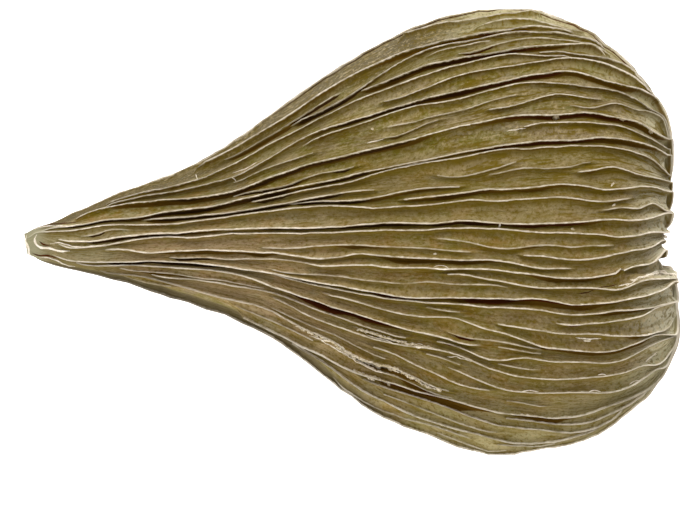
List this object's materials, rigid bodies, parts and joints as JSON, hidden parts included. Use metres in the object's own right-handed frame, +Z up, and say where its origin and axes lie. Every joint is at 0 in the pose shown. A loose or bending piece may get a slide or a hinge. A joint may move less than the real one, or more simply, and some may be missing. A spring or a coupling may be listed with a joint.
{
  "type": "seed pod",
  "caption": "Dry dregea seed pod lying on its side: a blunt teardrop with fine wavy ribs along its length, narrowing to a short open beak.",
  "frame": {"origin": "on the ground, under the middle of the box round the pod", "axes": "+X from the beak to the broad end, +Y across the pod, +Z up from the side it lies on"},
  "size_m": [0.0786, 0.053, 0.0407],
  "materials": {
    "pod_skin": "matt dry husk with pale rib crests and dark slits"
  },
  "bodies": {
    "root": {"pod": "pod_skin"}
  },
  "joints": []
}
